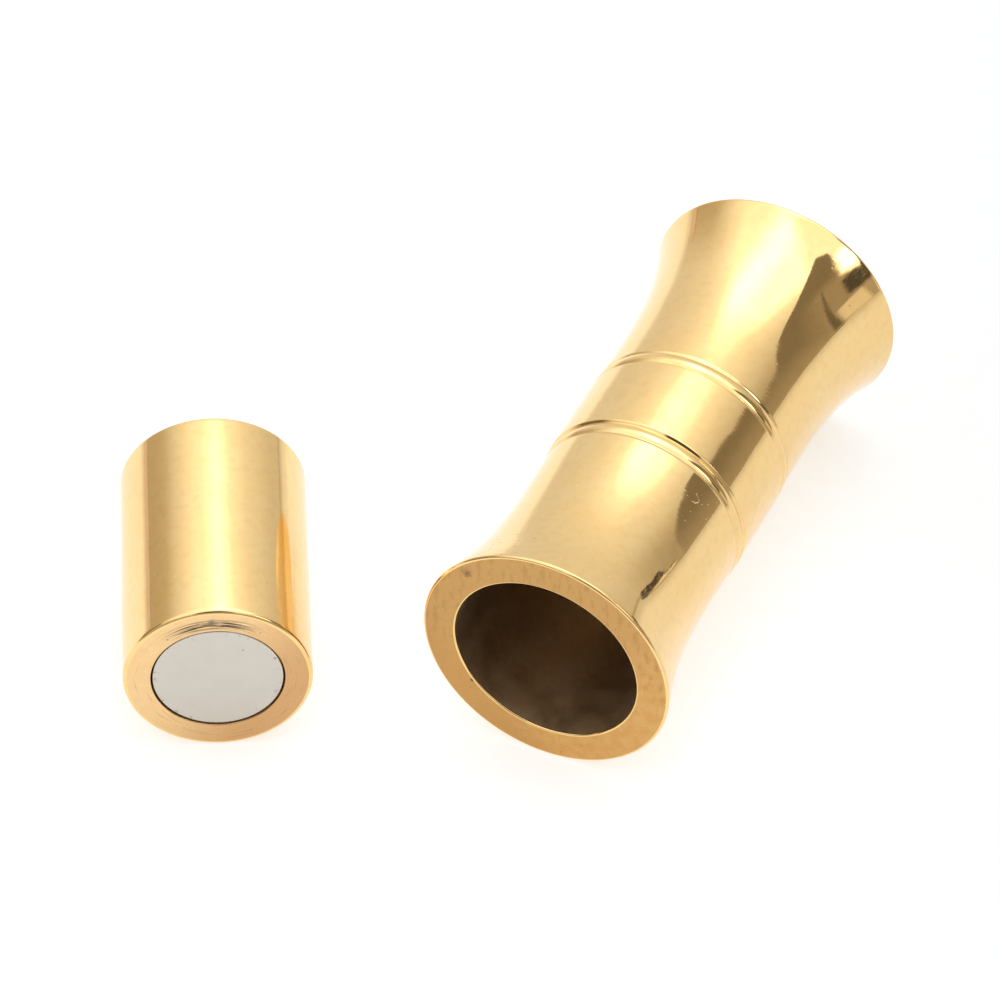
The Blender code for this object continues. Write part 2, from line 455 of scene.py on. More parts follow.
class TurnedTree:
    """A Geometry Nodes tree that joins turned bands into one closed piece."""

    def __init__(self, name, sizes, band):
        self.tree = bpy.data.node_groups.new(name, "GeometryNodeTree")
        self.band = band
        self.sizes = dict(sizes, **{"Steps Round": ROUND_STEPS})
        interface = self.tree.interface
        interface.new_socket("Geometry", in_out="OUTPUT", socket_type="NodeSocketGeometry")
        for size, value in self.sizes.items():
            kind = "NodeSocketInt" if isinstance(value, int) else "NodeSocketFloat"
            interface.new_socket(size, in_out="INPUT", socket_type=kind)
        given = self.tree.nodes.new("NodeGroupInput").outputs
        self.given = {size: Number(self.tree, given[size]) for size in self.sizes}
        _, self.along = grid_place(self.tree)
        self.bands = add(self.tree, "GeometryNodeJoinGeometry")

    def turn(self, radius, depth, steps, finish):
        band = add(self.tree, "GeometryNodeGroup", node_tree=self.band)
        for name, value in (("Radius", radius), ("Depth", depth), ("Steps Along", steps),
                            ("Steps Round", self.given["Steps Round"]), ("Finish", finish)):
            feed(self.tree, band.inputs[name], value)
        self.tree.links.new(band.outputs[0], self.bands.inputs[0])

    def straight(self, start, end, steps, finish):
        """A cone, cylinder or flat ring between two (radius, depth) points."""
        radius, depth = ((last - first) * self.along + first for first, last in zip(start, end))
        self.turn(radius, depth, steps, finish)

    def round(self, centre, size, start, end, steps, finish):
        """A rounded edge: an arc between two angles, from 0 straight outwards to 90 degrees backwards."""
        angle = (end - start) * self.along + start
        radius, depth = centre
        self.turn(radius + size * angle.maths("COSINE"), depth + size * angle.maths("SINE"), steps, finish)

    def finished(self, finishes):
        """Merges the bands, adds the polishing waves and gives each finish its material."""
        tree = self.tree
        merged = add(tree, "GeometryNodeMergeByDistance", {
            "Geometry": self.bands.outputs[0],
            "Distance": JOIN_GAP,
        })
        finish = add(tree, "GeometryNodeInputNamedAttribute", {"Name": "finish"}, data_type="INT")
        noise = add(tree, "ShaderNodeTexNoise", {"Scale": 1.0 / WAVE_SIZE, "Detail": 1.0})
        wave = (Number(tree, noise.outputs[0]) - 0.5) * (2 * WAVE_HEIGHT)
        normal = tree.nodes.new("GeometryNodeInputNormal")
        push = add(tree, "ShaderNodeVectorMath", {0: normal.outputs[0]}, operation="SCALE")
        feed(tree, push.inputs["Scale"], wave)
        waved = add(tree, "GeometryNodeSetPosition", {
            "Geometry": merged.outputs[0],
            "Selection": self.marked(finish, POLISHED),
            "Offset": push.outputs[0],
        })
        last = add(tree, "GeometryNodeRealizeInstances", {"Geometry": waved.outputs[0]})
        for mark, material in finishes.items():
            last = add(tree, "GeometryNodeSetMaterial", {
                "Geometry": last.outputs[0],
                "Selection": self.marked(finish, mark),
                "Material": material,
            })
        result = tree.nodes.new("NodeGroupOutput")
        tree.links.new(last.outputs[0], result.inputs[0])

    def marked(self, finish, mark):
        """True on the faces whose finish is the mark."""
        node = add(self.tree, "FunctionNodeCompare", {2: finish.outputs[0], 3: mark},
                   data_type="INT", operation="EQUAL")
        return node.outputs[0]

    def make(self, name, place):
        """Evaluates the tree on a new object, and leaves a plain mesh in its place on the clasp."""
        obj = bpy.data.objects.new(name, bpy.data.meshes.new(name))
        bpy.context.scene.collection.objects.link(obj)
        modifier = obj.modifiers.new("turned", "NODES")
        modifier.node_group = self.tree
        for item in self.tree.interface.items_tree:
            if item.in_out == "INPUT":
                modifier[item.identifier] = self.sizes[item.name]
        evaluated = obj.evaluated_get(bpy.context.evaluated_depsgraph_get())
        mesh = bpy.data.meshes.new_from_object(evaluated)
        obj.modifiers.clear()
        obj.data = mesh
        whole = bmesh.new()
        whole.from_mesh(mesh)
        bmesh.ops.remove_doubles(whole, verts=whole.verts, dist=WELD_GAP)
        bmesh.ops.recalc_face_normals(whole, faces=whole.faces)
        whole.to_mesh(mesh)
        whole.free()
        mesh.transform(place)
        mesh.shade_smooth()
        mesh.set_sharp_from_angle(angle=SHARP_ANGLE)
        return obj


def add_seat(shape, face, top):
    """A magnet's seat behind a face at the given depth: its floor, and its wall up to the top."""
    radius = shape.given["Seat Radius"]
    floor = shape.given["Seat Depth"] + face
    shape.straight((0.0, floor), (radius, floor), FLOOR_STEPS, HOLE)
    shape.straight((radius, floor), (radius, top), SEAT_STEPS, HOLE)


def add_back(shape, length):
    """The cord hole in the back face, from the hole's edge in to its floor."""
    edge = shape.given["Hole Edge"]
    radius = shape.given["Cord Hole Radius"]
    floor = shape.given["Cord Hole Floor"]
    shape.round((radius + edge, length - edge), edge, 2 * QUARTER, QUARTER, HOLE_EDGE_STEPS, SATIN)
    shape.straight((radius, length - edge), (radius, floor), CORD_HOLE_STEPS, HOLE)
    shape.straight((radius, floor), (0.0, floor), FLOOR_STEPS, HOLE)


class Flare:
    """One flare's curve: a cubic from its ring, then straight from a share of its run on, up to its rim."""

    def __init__(self, straight, gain, taper, run, rim):
        steepest = straight * straight * 3
        whole = straight ** 3.0 + steepest * (1.0 - straight)
        self.straight = straight
        self.steepest = steepest
        self.taper = taper
        self.lean = ((gain * steepest / whole - taper) / run).maths("ARCTANGENT")
        self.rim_depth = rim + rim * self.lean.maths("SINE")
        self.run = run - self.rim_depth
        rim_gain = gain - rim + rim * self.lean.maths("COSINE")
        self.scale = rim_gain / whole

    def rise(self, run_out):
        """Radius over the neck's, at a distance along from the ring."""
        t = run_out / self.run
        curved = t.maths("MINIMUM", self.straight)
        return (curved ** 3.0 + self.steepest * (t - curved)) * self.scale - self.taper * t


def socket_shell(band, place, length, flare_radius, finishes):
    shape = TurnedTree("socket shell", {
        "Length": length,
        "Flare Radius": flare_radius,
        "Neck Radius": NECK_RADIUS,
        "Neck Taper": NECK_TAPER,
        "Middle Radius": MIDDLE_RADIUS,
        "Ring Offset": RING_OFFSET,
        "Ring Width": RING_WIDTH,
        "Bead Crest": BEAD_CREST,
        "Bead Radius": BEAD_RADIUS,
        "Groove Radius": GROOVE_RADIUS,
        "Groove Foot": GROOVE_FOOT,
        "Groove Reach": GROOVE_REACH,
        "Near Straight": NEAR_STRAIGHT,
        "Far Straight": FAR_STRAIGHT,
        "Rim Round": RIM_ROUND,
        "Hole Edge": HOLE_EDGE_ROUND,
        "Plug Hole Radius": PLUG_HOLE_RADIUS,
        "Plug Hole Depth": PLUG_HOLE_DEPTH,
        "Seat Radius": SEAT_RADIUS,
        "Seat Depth": SEAT_DEPTH,
        "Cord Hole Radius": CORD_HOLE_RADIUS,
        "Cord Hole Floor": PLUG_HOLE_DEPTH + SEAT_DEPTH + WEB_THICKNESS,
    }, band)
    given = shape.given
    back = given["Length"]
    middle = back * 0.5
    rim = given["Rim Round"]
    edge = given["Hole Edge"]
    hole = given["Plug Hole Radius"]
    hole_floor = given["Plug Hole Depth"]
    rim_centre = given["Flare Radius"] - rim
    neck_start = given["Ring Offset"] + given["Ring Width"] * 0.5
    run = middle - neck_start
    gain = given["Flare Radius"] - given["Neck Radius"] + given["Neck Taper"]
    near = Flare(given["Near Straight"], gain, given["Neck Taper"], run, rim)
    far = Flare(given["Far Straight"], gain, given["Neck Taper"], run, rim)

    def outside_radius(depth):
        """Flares towards both rims, with a low bead on each ring, let into a groove."""
        offset = abs(depth - middle)
        run_out = (offset - neck_start).maths("MAXIMUM", 0.0)
        at_mouth = depth.maths("LESS_THAN", middle)
        rise = near.rise(run_out) * at_mouth + far.rise(run_out) * (1.0 - at_mouth)
        beyond = offset.maths("GREATER_THAN", given["Ring Offset"])
        body = (given["Neck Radius"] + rise) * beyond + given["Middle Radius"] * (1.0 - beyond)
        from_ring = abs(offset - given["Ring Offset"])
        near_ring = from_ring.fade(given["Groove Foot"], given["Groove Reach"], before=1.0, after=0.0)
        groove = (body - given["Groove Radius"]) * near_ring
        size = given["Bead Radius"]
        inside = (size * size - from_ring * from_ring).maths("MAXIMUM", 0.0)
        bead = given["Bead Crest"] - size + inside.maths("SQRT")
        return (body - groove).maths("MAXIMUM", bead)

    add_seat(shape, hole_floor, hole_floor)
    shape.straight((given["Seat Radius"], hole_floor), (hole, hole_floor), LEDGE_STEPS, HOLE)
    shape.straight((hole, hole_floor), (hole, edge), PLUG_HOLE_STEPS, HOLE)
    shape.round((hole + edge, edge), edge, 2 * QUARTER, 3 * QUARTER, HOLE_EDGE_STEPS, POLISHED)
    shape.straight((hole + edge, 0.0), (rim_centre, 0.0), SOCKET_FACE_STEPS, SATIN)
    shape.round((rim_centre, rim), rim, -QUARTER, near.lean, RIM_STEPS, POLISHED)
    reach = given["Groove Reach"] * RING_MARGIN
    first_ring = middle - given["Ring Offset"]
    second_ring = middle + given["Ring Offset"]
    stops = (
        (near.rim_depth, first_ring - reach, SIDE_STEPS),
        (first_ring - reach, first_ring + reach, RING_STEPS),
        (first_ring + reach, second_ring - reach, MIDDLE_STEPS),
        (second_ring - reach, second_ring + reach, RING_STEPS),
        (second_ring + reach, back - far.rim_depth, SIDE_STEPS),
    )
    for start, end, steps in stops:
        depth = (end - start) * shape.along + start
        shape.turn(outside_radius(depth), depth, steps, POLISHED)
    shape.round((rim_centre, back - rim), rim, -far.lean, QUARTER, RIM_STEPS, POLISHED)
    shape.straight((rim_centre, back), (given["Cord Hole Radius"] + edge, back), SOCKET_FACE_STEPS, SATIN)
    add_back(shape, back)
    shape.finished(finishes)
    return shape.make("socket_shell_turned", place)


def plug_sleeve(band, place, radius, finishes):
    shape = TurnedTree("plug sleeve", {
        "Length": PLUG_LENGTH,
        "Radius": radius,
        "Rim Round": PLUG_RIM_ROUND,
        "Back Round": PLUG_BACK_ROUND,
        "Hole Edge": HOLE_EDGE_ROUND,
        "Seat Edge": PLUG_SEAT_EDGE,
        "Seat Radius": PLUG_SEAT_RADIUS,
        "Seat Depth": SEAT_DEPTH,
        "Cord Hole Radius": CORD_HOLE_RADIUS,
        "Cord Hole Floor": SEAT_DEPTH + WEB_THICKNESS,
    }, band)
    given = shape.given
    side = given["Radius"]
    length = given["Length"]
    rim = given["Rim Round"]
    edge = given["Seat Edge"]
    seat_edge = given["Seat Radius"] + edge
    back = given["Back Round"]
    back_edge = given["Cord Hole Radius"] + given["Hole Edge"]
    add_seat(shape, 0.0, edge)
    shape.round((seat_edge, edge), edge, 2 * QUARTER, 3 * QUARTER, HOLE_EDGE_STEPS, SATIN)
    shape.straight((seat_edge, 0.0), (side - rim, 0.0), PLUG_FACE_STEPS, SATIN)
    shape.round((side - rim, rim), rim, -QUARTER, 0.0, RIM_STEPS, POLISHED)
    shape.straight((side, rim), (side, length - back), SIDE_STEPS, POLISHED)
    shape.round((side - back, length - back), back, 0.0, QUARTER, RIM_STEPS, POLISHED)
    shape.straight((side - back, length), (back_edge, length), PLUG_FACE_STEPS, SATIN)
    add_back(shape, length)
    shape.finished(finishes)
    return shape.make("plug_sleeve_turned", place)


def magnet(name, band, place, face_depth, material):
    shape = TurnedTree(name.replace("_", " "), {
        "Radius": MAGNET_RADIUS,
        "Face Depth": face_depth + MAGNET_RECESS,
        "Thickness": MAGNET_THICKNESS,
        "Edge Round": MAGNET_EDGE,
    }, band)
    given = shape.given
    side = given["Radius"]
    edge = given["Edge Round"]
    flat = side - edge
    front = given["Face Depth"]
    back = front + given["Thickness"]
    shape.straight((0.0, front), (flat, front), MAGNET_FACE_STEPS, SATIN)
    shape.round((flat, front + edge), edge, -QUARTER, 0.0, MAGNET_STEPS, SATIN)
    shape.straight((side, front + edge), (side, back - edge), MAGNET_STEPS, SATIN)
    shape.round((flat, back - edge), edge, 0.0, QUARTER, MAGNET_STEPS, SATIN)
    shape.straight((flat, back), (0.0, back), MAGNET_STEPS, SATIN)
    shape.finished({SATIN: material})
    return shape.make(name, place)


# Finishes

class Finish:
    """A metal whose pattern is worked out in millimetres along its half."""

    def __init__(self, name, place):
        self.material = bpy.data.materials.new(name)
        self.material.use_nodes = True
        self.tree = self.material.node_tree
        self.shader = self.tree.nodes["Principled BSDF"]
        self.shader.inputs["Metallic"].default_value = 1.0
        coordinates = self.tree.nodes.new("ShaderNodeTexCoord")
        mapping = add(self.tree, "ShaderNodeMapping", {
            "Vector": coordinates.outputs["Object"],
            "Location": place.to_translation(),
            "Rotation": place.to_euler(),
            "Scale": (MM, MM, MM),
        }, vector_type="TEXTURE")
        self.place = mapping.outputs[0]
        self.x, self.y, self.depth = parts(self.tree, self.place)
        self.radius = (self.x * self.x + self.y * self.y).maths("SQRT")

    def noise(self, scale, detail=2.0, stretch=None):
        vector = self.place
        if stretch:
            stretched = add(self.tree, "ShaderNodeVectorMath", {0: vector, 1: stretch}, operation="MULTIPLY")
            vector = stretched.outputs[0]
        return Number(self.tree, noise_node(self.tree, vector, scale, detail).outputs[0])

    def mix(self, amount, first, second):
        return mix_colours(self.tree, amount, first, second)

    def set(self, name, value):
        feed(self.tree, self.shader.inputs[name], value)

    def bump(self, height, distance):
        """Relief whose heights go up to the distance in mm."""
        node = add(self.tree, "ShaderNodeBump", {"Height": height, "Distance": distance * MM})
        self.set("Normal", node.outputs[0])

    def lay_colour(self, amount, colour, strength=1.0):
        """Lays a colour over the metal's own by an amount from 0 to 1: marks, and painted shade and glints.
        """
        below = self.shader.inputs["Base Color"].links[0].from_socket
        self.set("Base Color", self.mix(amount * strength, below, colour))

    def distance(self, place):
        """How far a place on the half is, in mm."""
        node = add(self.tree, "ShaderNodeVectorMath", {0: self.place, 1: place}, operation="DISTANCE")
        return Number(self.tree, node.outputs["Value"])

    def near(self, place, size, softness=0.5, raggedness=0.0):
        """1 round a place given in mm on the half, 0 beyond the size."""
        distance = self.distance(place)
        if raggedness:
            distance = distance + (self.noise(RAGGED_SCALE, detail=3.0) - 0.5) * (size * raggedness)
        return distance.fade(size, size * (1.0 - softness))

    def spots(self, per_mm, share, size):
        """Small round marks strewn through the metal, each up to the size in mm."""
        node = add(self.tree, "ShaderNodeTexVoronoi", {"Vector": self.place, "Scale": per_mm})
        chance = add(self.tree, "ShaderNodeSeparateColor", {0: node.outputs["Color"]})
        chosen = Number(self.tree, chance.outputs[0]).maths("LESS_THAN", share)
        edge = size * per_mm
        return Number(self.tree, node.outputs["Distance"]).fade(edge, edge * 0.5) * chosen

    def hairlines(self, scale, stretch, width, gap_scale, gap_levels):
        """Thin curved lines, broken off where a second noise is under the gap's levels."""
        lines = abs(self.noise(scale, detail=1.0, stretch=stretch) - 0.5).fade(width, 0.0)
        return lines * self.noise(gap_scale, detail=1.0).fade(*gap_levels)


def curl_of_dust(finish, place, unevenness):
    """The right half of a thin, bent ring of dust, with grains strewn round it."""
    away = finish.distance(place)
    bent = away + unevenness * CURL_BEND
    right_half = finish.x.fade(*(place[0] + cut for cut in CURL_CUT))
    ring = abs(bent - CURL_RADIUS).fade(*CURL_LINE) * right_half
    grains = finish.spots(per_mm=6.0, share=0.40, size=0.034) * away.fade(GRAINS_REACH, GRAINS_REACH / 2)
    return (ring * away.fade(CURL_REACH, CURL_REACH * 2 / 3) + grains).maths("MINIMUM", 1.0)


def polished_gold(name, place, polish, lean=0.0, curl=None, dashes=None):
    """Bright mottled gold with pits, hairlines and dust.

    The lean tilts the shine along the half, by so many mm for each mm. It stands in for an overhead
    light that stands nearer over this half than the room's own does.
    """
    finish = Finish(name, place)
    tone = finish.noise(scale=0.45, detail=3.0)
    gold = finish.mix(tone.spread(), PALE_GOLD, RICH_GOLD)
    mottle = finish.noise(scale=2.8, detail=5.0)
    gold = finish.mix(mottle.fade(start=0.42, end=0.75, after=0.6), gold, WORN_GOLD)
    pits = finish.spots(per_mm=1.1, share=0.30, size=0.05)
    lines = finish.hairlines(scale=0.22, stretch=(1.0, 1.0, 4.0), width=0.0016,
                             gap_scale=0.374, gap_levels=(0.57, 0.61))
    finish.set("Base Color", gold)
    finish.lay_colour(pits, PITTED_GOLD, strength=0.6)
    best, worst = polish
    roughness = finish.noise(scale=1.6, detail=3.0).fade(start=0.35, end=0.75, before=best, after=worst)
    finish.set("Roughness", roughness + pits * PIT_ROUGHNESS + lines * HAIRLINE_ROUGHNESS)
    relief = finish.noise(scale=5.0, stretch=(1.0, 1.0, 2.0))
    if lean:
        relief = relief + finish.depth * (lean / FINE_BUMP)
    finish.bump(relief, FINE_BUMP)
    # Specks of dust lie dull on the shine, and show most on its dark parts
    dust = finish.spots(per_mm=2.6, share=0.30, size=0.034)
    if curl:
        dust = dust.maths("MAXIMUM", curl_of_dust(finish, curl, mottle - 0.5))
    if dashes:
        cluster = finish.near(dashes, DASHES_REACH, softness=0.8, raggedness=0.8)
        dark = finish.spots(per_mm=4.0, share=0.6, size=0.06) * cluster
        finish.lay_colour(dark, DASH_BROWN, strength=0.8)
    finish.lay_colour(dust, DUST_TAN, strength=DUST_COVER)
    finish.set("Metallic", 1.0 - dust * DUST_COVER)
    return finish.material


def satin_gold(name, place, gold, deeper):
    """Mottled gold with small stains and fine turning marks round the half's axis."""
    finish = Finish(name, place)
    mottle = finish.noise(scale=2.2, detail=6.0)
    finish.set("Base Color", finish.mix(mottle.fade(start=0.35, end=0.68), deeper, gold))
    finish.lay_colour(finish.spots(per_mm=2.0, share=0.45, size=0.055), SATIN_STAIN, strength=0.7)
    finish.set("Roughness", mottle.spread(0.22, 0.30))
    turning = (finish.radius * FACE_TURNING + finish.noise(scale=3.0) * FACE_WANDER).maths("SINE")
    finish.bump(turning, SATIN_BUMP)
    return finish


def mouth_satin(place):
    """Brown-orange, with painted shade over its top, a smudge at the upper left and a nick at the hole's
    lower left edge.
    """
    finish = satin_gold("socket satin gold", place, MOUTH_GOLD, MOUTH_DEEPER)
    # Painted shade: the face is darker towards its top, offsetting the brighter table that the top reflects
    downwards = finish.y + finish.x * MOUTH_SLANT
    finish.lay_colour(downwards.fade(start=3.0, end=-2.4), MOUTH_PAINTED_SHADE, strength=0.78)
    finish.lay_colour((finish.y - finish.x).fade(start=3.5, end=6.0), MOUTH_LOWER_LEFT, strength=0.7)
    streaks = finish.noise(scale=1.3, detail=5.0, stretch=(3.0, 1.0, 1.0)).fade(start=0.50, end=0.62)
    finish.lay_colour(streaks * finish.y.fade(start=2.0, end=-1.0), MOUTH_STREAK, strength=0.35)
    smudge = finish.near(MOUTH_SMUDGE_PLACE, MOUTH_SMUDGE_REACH, softness=0.9, raggedness=1.5)
    finish.lay_colour(smudge, MOUTH_SMUDGE, strength=0.75)
    nick = finish.near(MOUTH_NICK_PLACE, MOUTH_NICK_REACH, softness=0.6, raggedness=1.0)
    finish.lay_colour(nick, MOUTH_NICK, strength=0.9)
    return finish.material


def plug_satin(place):
    """Paler than the mouth, most at its left, with dark scratches round the top of the face and painted
    glints beside them.
    """
    finish = satin_gold("plug satin gold", place, PLUG_FACE_GOLD, PLUG_FACE_DEEPER)
    rightwards = finish.x + finish.y * PLUG_FACE_SLANT
    finish.lay_colour(rightwards.fade(start=-1.6, end=3.0), PLUG_FACE_RIGHT, strength=0.9)
    angle = (-finish.y).maths("ARCTAN2", finish.x)
    around = add(finish.tree, "ShaderNodeCombineXYZ", {
        "X": angle * SCRATCHES_ROUND,
        "Y": finish.radius * SCRATCHES_OUT,
    })
    scratch = noise_node(finish.tree, around.outputs[0], scale=1.0, detail=3.0)
    scratch = Number(finish.tree, scratch.outputs[0])
    top = abs(angle - SCRATCH_MIDDLE).fade(SCRATCH_END, SCRATCH_FULL)
    ring = finish.radius.fade(start=2.55, end=2.75) * finish.radius.fade(start=3.2, end=3.0)
    finish.lay_colour(scratch.fade(start=0.45, end=0.53) * top * ring, SCRATCH_DARK)
    # Painted glints: pale arcs beside the dark scratches, where their edges catch the light
    finish.lay_colour(scratch.fade(start=0.42, end=0.36) * top * ring, SCRATCH_PAINTED_GLINT, strength=0.8)
    inner = finish.radius.fade(start=3.35, end=3.1)
    finish.lay_colour(scratch.fade(start=0.60, end=0.70) * inner, SCRATCH_FAINT, strength=0.5)
    smudge = finish.near(PLUG_SMUDGE_PLACE, PLUG_SMUDGE_REACH, softness=1.0, raggedness=0.8)
    finish.lay_colour(smudge, PLUG_FACE_SMUDGE, strength=0.8)
    return finish.material


def hole_gold_with_painted_shade(name, place, gold):
    """Rough gold with painted shade: darker with depth and to the left, where light doesn't reach."""
    finish = Finish(name, place)
    mottle = finish.noise(scale=0.9, detail=4.0)
    # Painted shade, deeper in the hole and towards its left wall, with a random mottle in it
    shade = finish.depth.fade(start=0.0, end=6.0, after=0.35) + mottle.spread(0.0, 0.15)
    shade = shade + finish.x.fade(start=0.0, end=-3.5, after=0.8)
    dark = tuple(part * HOLE_SHADE for part in gold)
    finish.set("Base Color", finish.mix(shade, gold, dark))
    finish.set("Roughness", mottle.spread(0.38, 0.50))
    turning = (finish.depth * HOLE_TURNING + finish.noise(scale=1.5) * HOLE_WANDER).maths("SINE")
    relief = finish.noise(scale=4.0, stretch=(1.0, 1.0, 3.0))
    finish.bump(turning * HOLE_TURNING_HEIGHT + relief, HOLE_BUMP)
    return finish.material


def bright_nickel(name, place):
    """Pale cloudy nickel with a few specks, and dark marks near its rim."""
    finish = Finish(name, place)
    cloud = finish.noise(scale=1.1, detail=5.0)
    finish.set("Base Color", finish.mix(cloud.spread(), DARKER_NICKEL, PALER_NICKEL))
    specks = finish.spots(per_mm=0.8, share=0.3, size=0.04)
    for speck, size in MAGNET_SPECKS:
        specks = specks + finish.near(speck, size)
    blotches = finish.noise(scale=4.0, detail=4.0).fade(start=0.58, end=0.70)
    rim = finish.radius.fade(start=2.1, end=2.4) * blotches
    marks = (specks + rim * NICKEL_RIM_MARKS).maths("MINIMUM", 1.0)
    finish.lay_colour(marks, NICKEL_MARK, strength=0.7)
    finish.set("Roughness", cloud.spread(0.27, 0.33))
    return finish.material


# Table, light and camera

def add_table():
    bpy.ops.mesh.primitive_circle_add(vertices=TABLE_STEPS, radius=TABLE_RADIUS, fill_type="TRIFAN")
    table = bpy.context.active_object
    table.name = "table"
    material = bpy.data.materials.new("white table")
    material.use_nodes = True
    tree = material.node_tree
    shader = tree.nodes["Principled BSDF"]
    shader.inputs["Roughness"].default_value = TABLE_ROUGHNESS
    shader.inputs["Specular IOR Level"].default_value = 0.0
    shader.inputs["Emission Strength"].default_value = 1.0
    place = tree.nodes.new("ShaderNodeTexCoord").outputs["Object"]
    x, y = parts(tree, place, "XY")
    rightwards = x * math.cos(VIEW_AZIMUTH) + y * math.sin(VIEW_AZIMUTH)
    outwards = (x * x + y * y).maths("SQRT")
    grain = Number(tree, noise_node(tree, place, TABLE_GRAIN).outputs[0])
    # Painted light: the table glows, and its glow and colour fade to the right and far out as painted shade
    lit = (1.0 - rightwards.fade(*TABLE_SHADE_RIGHT)) * outwards.fade(*TABLE_SHADE_OUTWARDS)
    lit = lit * grain.spread(*TABLE_GRAIN_LEVELS)
    for name, colour in (("Base Color", TABLE_COLOUR), ("Emission Color", TABLE_PAINTED_GLOW)):
        feed(tree, shader.inputs[name], combine_colour(tree, *(lit * share for share in colour)))
    table.data.materials.append(material)


def toward(zenith, azimuth):
    """A direction by its angle from straight up, and its angle to the right of the view, in degrees."""
    z = math.radians(zenith)
    a = math.radians(azimuth)
    return Vector((math.sin(z) * math.sin(a), math.sin(z) * math.cos(a), math.cos(z)))


class Studio:
    """The room that the metal reflects, painted on the world by direction."""

    def __init__(self):
        world = bpy.data.worlds.new("studio")
        world.use_nodes = True
        bpy.context.scene.world = world
        self.tree = world.node_tree
        coordinates = self.tree.nodes.new("ShaderNodeTexCoord")
        mapping = add(self.tree, "ShaderNodeMapping", {
            "Vector": coordinates.outputs["Generated"],
            "Rotation": (0.0, 0.0, -VIEW_AZIMUTH),
        })
        self.direction = mapping.outputs[0]
        self.right, self.away, self.up = parts(self.tree, self.direction)
        self.zenith = self.up.maths("ARCCOSINE") * math.degrees(1.0)
        self.azimuth = self.right.maths("ARCTAN2", self.away) * math.degrees(1.0)
        ragged = noise_node(self.tree, self.direction, EDGE_NOISE, detail=4.0)
        self.ragged = Number(self.tree, ragged.outputs[0])
        self.speckle = Number(self.tree, noise_node(self.tree, self.direction, SPECKLE_NOISE).outputs[0])
        self.uneven = self.shaken(ragged.outputs["Color"])
        self.colour = None
        self.plain = None

    def vector_maths(self, operation, *values):
        return add(self.tree, "ShaderNodeVectorMath", dict(enumerate(values)), operation=operation)

    def shaken(self, noise):
        """The direction moved a little by the noise, so that a panel's edges turn out uneven."""
        centred = self.vector_maths("ADD", noise, (-0.5, -0.5, -0.5))
        small = self.vector_maths("SCALE", centred.outputs[0])
        small.inputs["Scale"].default_value = EDGE_UNEVENNESS
        return self.vector_maths("ADD", self.direction, small.outputs[0]).outputs[0]

    def cover(self, amount, colour, strength=1.0):
        """Lays a colour over what is there by an amount from 0 to 1."""
        self.colour = mix_colours(self.tree, amount * strength, self.colour, colour)

    def panel(self, corners, softness, direction=None):
        """1 inside a convex panel given by its corners in order, 0 outside, softened by so many degrees."""
        inside = None
        points = [toward(*corner) for corner in corners]
        middle = sum(points, Vector())
        soft = math.sin(math.radians(softness))
        for first, second in zip(points, points[1:] + points[:1]):
            normal = first.cross(second).normalized()
            if normal.dot(middle) < 0:
                normal = -normal
            dot = self.vector_maths("DOT_PRODUCT", direction or self.direction, normal)
            side = Number(self.tree, dot.outputs["Value"]).fade(-soft, soft)
            inside = side if inside is None else inside * side
        return inside

    def finish(self):
        """The camera sees plain white past the table, the metal sees the studio, and the table its light."""
        path = self.tree.nodes.new("ShaderNodeLightPath")
        plain, whole, white = (
            add(self.tree, "ShaderNodeBackground", {"Color": colour}).outputs[0]
            for colour in (self.plain, self.colour, PAST_TABLE)
        )
        seen = add(self.tree, "ShaderNodeMixShader", {0: path.outputs["Is Glossy Ray"], 1: plain, 2: whole})
        seen = seen.outputs[0]
        seen = add(self.tree, "ShaderNodeMixShader", {0: path.outputs["Is Camera Ray"], 1: seen, 2: white})
        self.tree.links.new(seen.outputs[0], self.tree.nodes["World Output"].inputs["Surface"])


def paint_room(studio):
    """White room: bright under the ceiling, dimmer to both sides low down and behind the camera."""
    zenith, azimuth = studio.zenith, studio.azimuth
    room = zenith.fade(*WALL_DOWN) + zenith.fade(*CEILING_DOWN)
    glow = zenith.fade(*GLOW_DOWN) * abs(azimuth).fade(*GLOW_ACROSS)
    left = azimuth.fade(*LEFT_ACROSS) * zenith.fade(*LEFT_DOWN) * LEFT_SHADE
    right = azimuth.fade(*RIGHT_ACROSS) * zenith.fade(*RIGHT_DOWN) * RIGHT_SHADE
    behind = abs(azimuth).fade(*BEHIND_ACROSS)
    room = (room + glow) * (1.0 - left) * (1.0 - right) * (1.0 - behind)
    # The overhead light is hottest at its left, and gone towards the camera
    height = studio.up.maths("MAXIMUM", LOWEST_HEIGHT)
    across = studio.right / height
    back = studio.away / height
    sheet = across.fade(*LIGHT_LEFT_END) * back.fade(*LIGHT_FRONT_END) * zenith.fade(*LIGHT_DOWN)
    level = room + sheet * across.fade(*LIGHT_LEVEL)
    green = level * level.fade(*WARM_GREEN) * (1.0 - left * LEFT_GREEN)
    blue = level * level.fade(*WARM_BLUE) * (1.0 - left * LEFT_BLUE)
    studio.colour = combine_colour(studio.tree, level, green, blue)
    studio.plain = studio.colour


